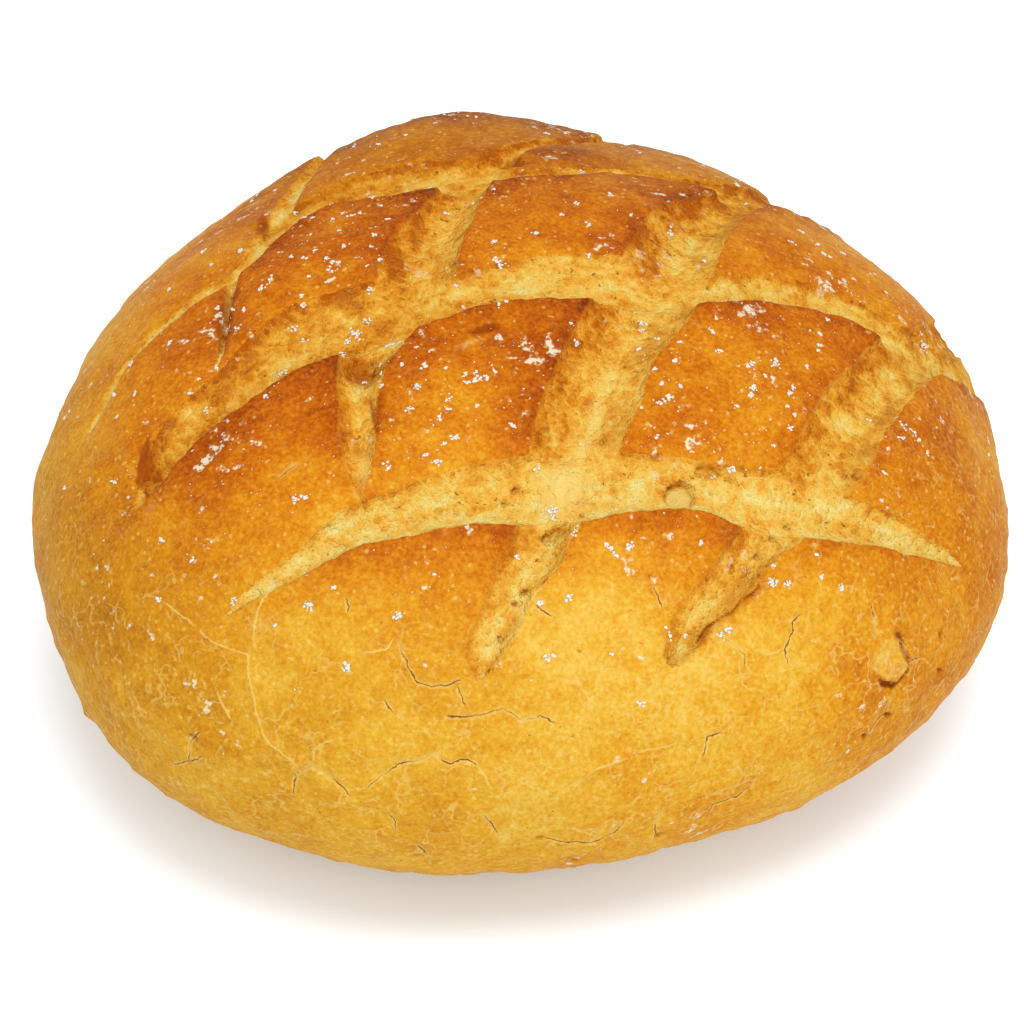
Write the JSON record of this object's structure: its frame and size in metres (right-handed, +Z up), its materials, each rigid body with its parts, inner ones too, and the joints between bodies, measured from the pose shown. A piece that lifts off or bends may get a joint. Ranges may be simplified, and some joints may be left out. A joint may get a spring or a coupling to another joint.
{
  "type": "sourdough loaf",
  "caption": "Round crusty sourdough loaf with a baked-open lattice of slashes on its domed top and a flat underside.",
  "frame": {"origin": "middle of the footprint, on the surface the loaf stands on", "axes": "+Z up through the crown; +X along the loaf's longer side, to the right when it is seen from the flank where the slashes run out; +Y away from that flank"},
  "size_m": [0.2466, 0.2411, 0.1274],
  "materials": {
    "crust": "dry baked crust, golden to brown, with paler crumb in the slashes and traces of flour"
  },
  "bodies": {
    "root": {"loaf": "crust"}
  },
  "joints": []
}
